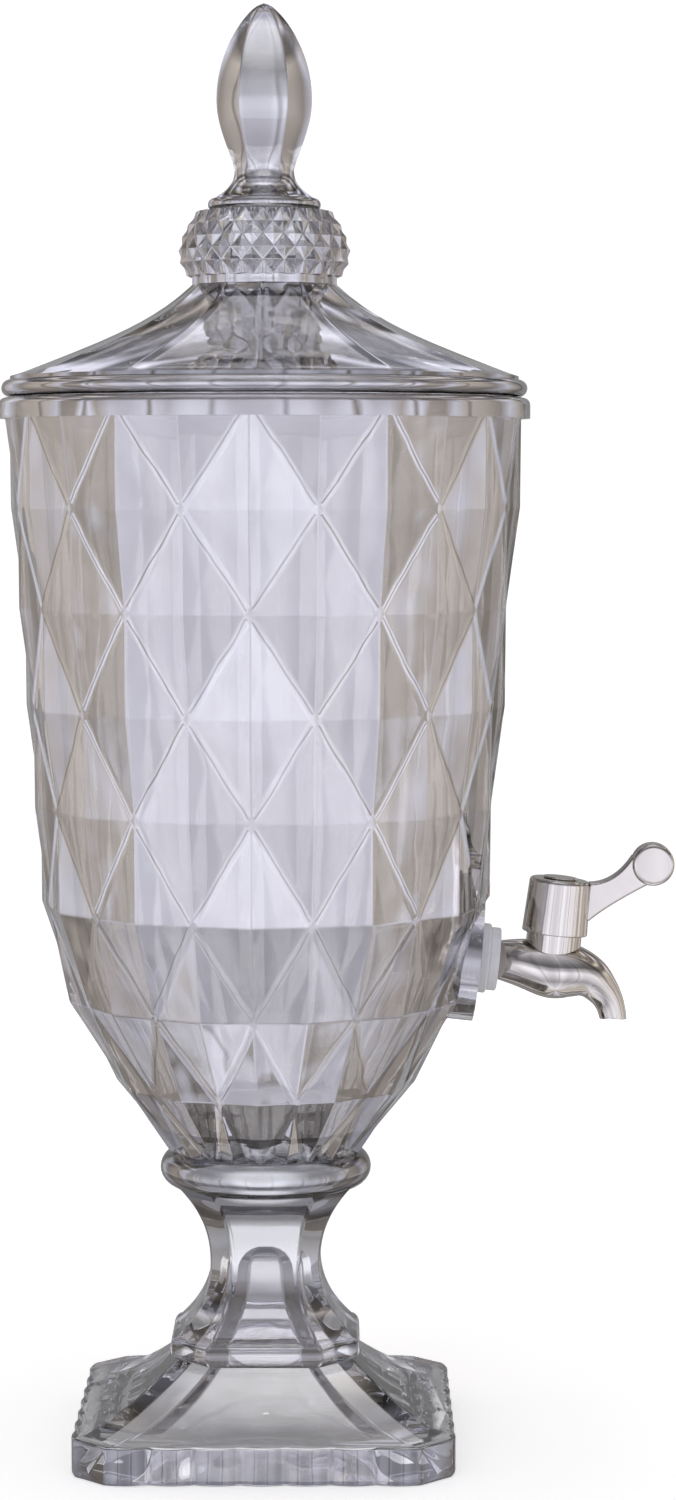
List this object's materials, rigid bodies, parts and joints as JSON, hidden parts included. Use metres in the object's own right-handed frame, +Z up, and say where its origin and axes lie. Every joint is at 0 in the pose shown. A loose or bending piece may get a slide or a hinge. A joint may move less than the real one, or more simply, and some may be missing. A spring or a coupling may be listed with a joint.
{
  "type": "glass juice dispenser",
  "caption": "Footed glass juice dispenser with diamond facets, a lift-off lid with a tall finial and a silver quarter-turn tap that pours from the side of the bowl.",
  "frame": {"origin": "middle of the base's underside, on the surface that the dispenser stands on", "axes": "+Z up along the bowl's axis, +X towards the tap"},
  "size_m": [0.2311, 0.181, 0.493],
  "materials": {
    "glass": "pressed smoke-grey glass with a faint metallic lustre",
    "clear_adhesive": "clear cured adhesive",
    "silicone": "translucent white silicone",
    "clear_plastic": "translucent white plastic",
    "silver_plating": "silver plated plastic, polished",
    "valve_plastic": "plain white plastic",
    "black_rubber": "matt black rubber",
    "screw_steel": "zinc plated steel"
  },
  "bodies": {
    "vessel": {"pedestal": "glass", "pedestal_bond": "clear_adhesive", "bowl": "glass", "outer_gasket": "silicone", "outer_washer": "clear_plastic", "inner_gasket": "silicone", "inner_washer": "clear_plastic", "lock_nut": "clear_plastic", "tap_body": "silver_plating", "plug_retainer": "valve_plastic"},
    "lid_body": {"lid": "glass", "finial_bond": "clear_adhesive", "finial": "glass"},
    "tap_handle": {"handle": "silver_plating", "handle_screw": "screw_steel", "handle_cap": "silver_plating", "valve_plug": "valve_plastic", "plug_o_ring_upper": "black_rubber", "plug_o_ring_lower": "black_rubber"}
  },
  "joints": [
    {"name": "lid_lift", "type": "slide", "parent": "vessel", "child": "lid_body", "axis": [0, 0, 1], "range_m": [0, 0.15]},
    {"name": "tap_turn", "type": "hinge", "parent": "vessel", "child": "tap_handle", "pos_m": [0.09844, 0, 0.16537], "axis": [0.1045, 0, 0.9945], "range_deg": [0, 90]}
  ]
}
